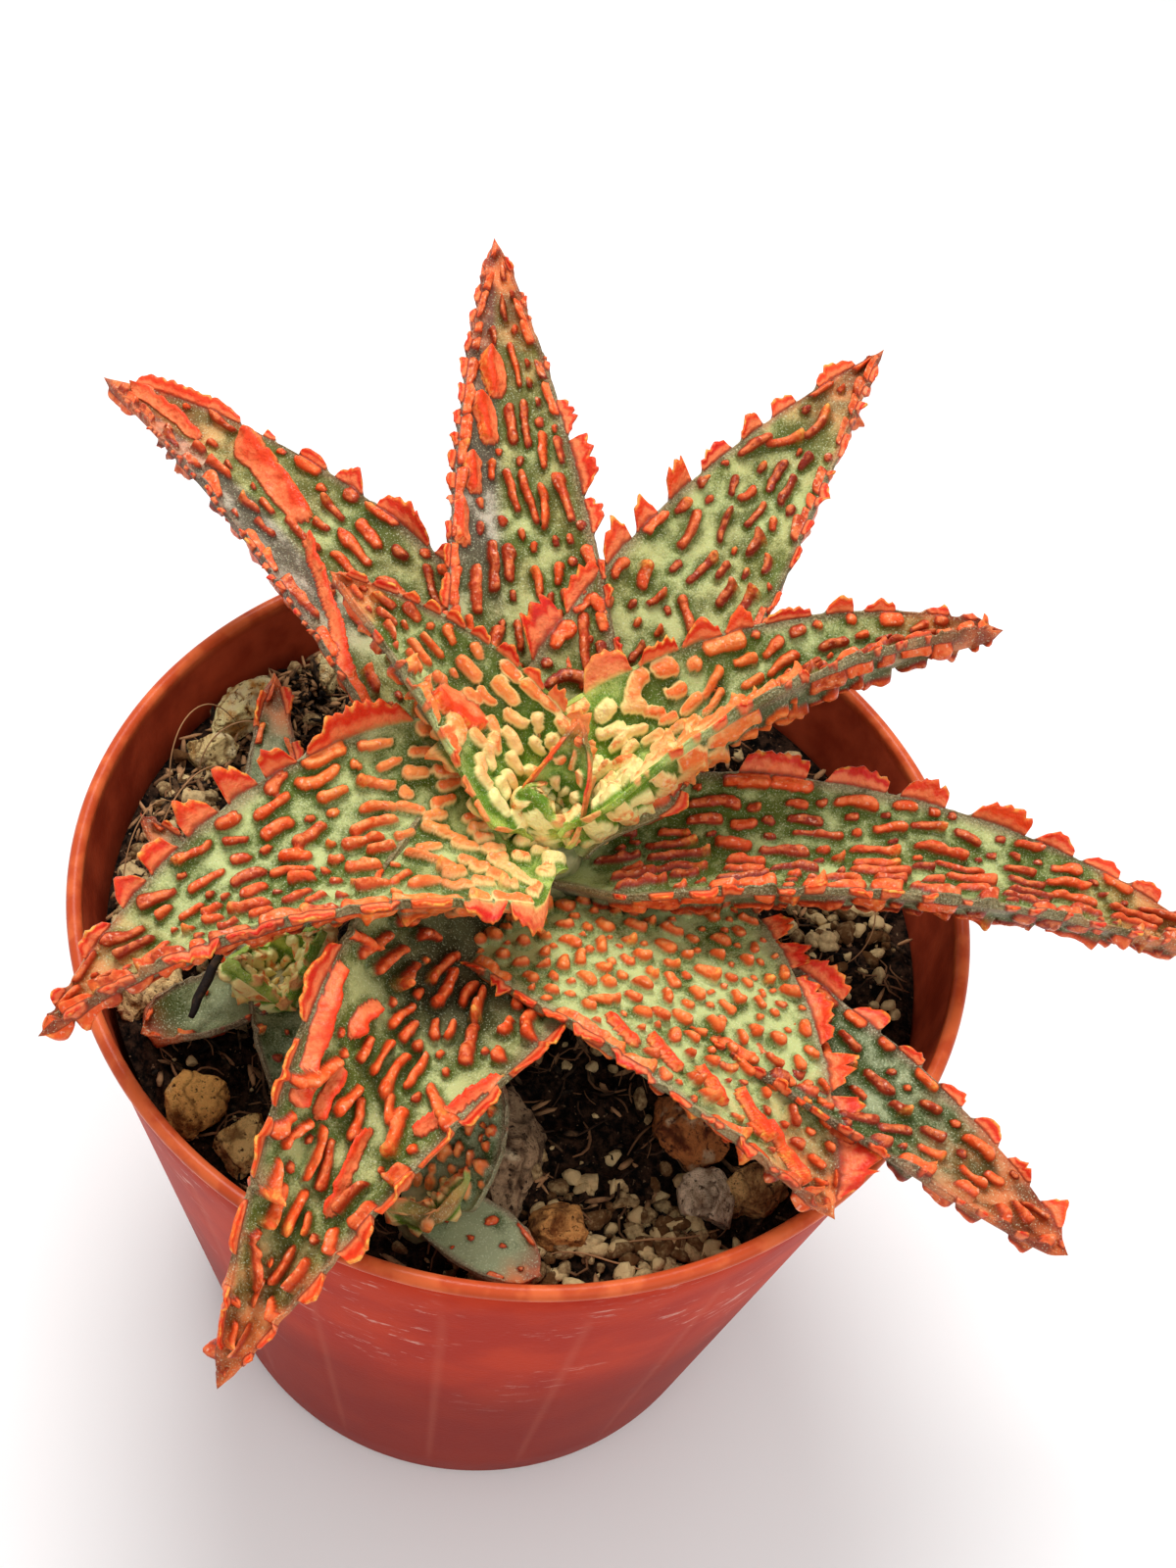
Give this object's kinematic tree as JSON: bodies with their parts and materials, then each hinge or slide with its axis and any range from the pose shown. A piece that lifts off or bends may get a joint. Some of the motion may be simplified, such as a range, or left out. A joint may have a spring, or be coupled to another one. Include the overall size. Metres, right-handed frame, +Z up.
{
  "type": "potted aloe hybrid",
  "caption": "Tubercled, ragged-edged aloe rosette with young offsets, growing in gritty soil in a round nursery pot that stands on its flat underside.",
  "frame": {"origin": "centre of the pot's flat underside", "axes": "+Z up, along the pot's axis; the side that faces the picture's camera is towards -Y"},
  "size_m": [0.125, 0.1135, 0.1124],
  "materials": {
    "pot_plastic": "satin",
    "soil": "matte",
    "stem": "matte",
    "heart_leaf": "satin",
    "leaf": "satin",
    "old_leaf": "satin",
    "stone": "matte"
  },
  "bodies": {
    "root": {"pot": "pot_plastic", "soil": "soil", "stem": "stem", "offset_left_stem": "stem", "offset_front_stem": "stem", "leaf_heart": "heart_leaf", "leaf_heart_small": "heart_leaf", "leaf_inner_right": "leaf", "leaf_inner_left": "leaf", "leaf_left": "leaf", "leaf_back_right": "leaf", "leaf_back": "leaf", "leaf_back_left": "leaf", "leaf_right": "leaf", "leaf_front": "leaf", "leaf_front_left": "leaf", "leaf_front_right": "old_leaf", "offset_left_leaf_heart": "heart_leaf", "offset_left_leaf_young": "heart_leaf", "offset_left_leaf_back": "old_leaf", "offset_left_leaf_side": "old_leaf", "offset_left_leaf_left": "old_leaf", "offset_left_leaf_front": "old_leaf", "offset_front_leaf_heart": "heart_leaf", "offset_front_leaf_back": "old_leaf", "offset_front_leaf_side": "old_leaf", "stone_long": "stone", "stone_brown": "stone", "stone_brown_white": "stone", "stone_grey": "stone", "stone_tan_front": "stone", "stone_rough_left": "stone", "stone_ridged_left": "stone", "stone_tan_left": "stone", "stone_pale_back": "stone", "stone_pale_left": "stone", "stone_pale_far": "stone"}
  },
  "joints": []
}
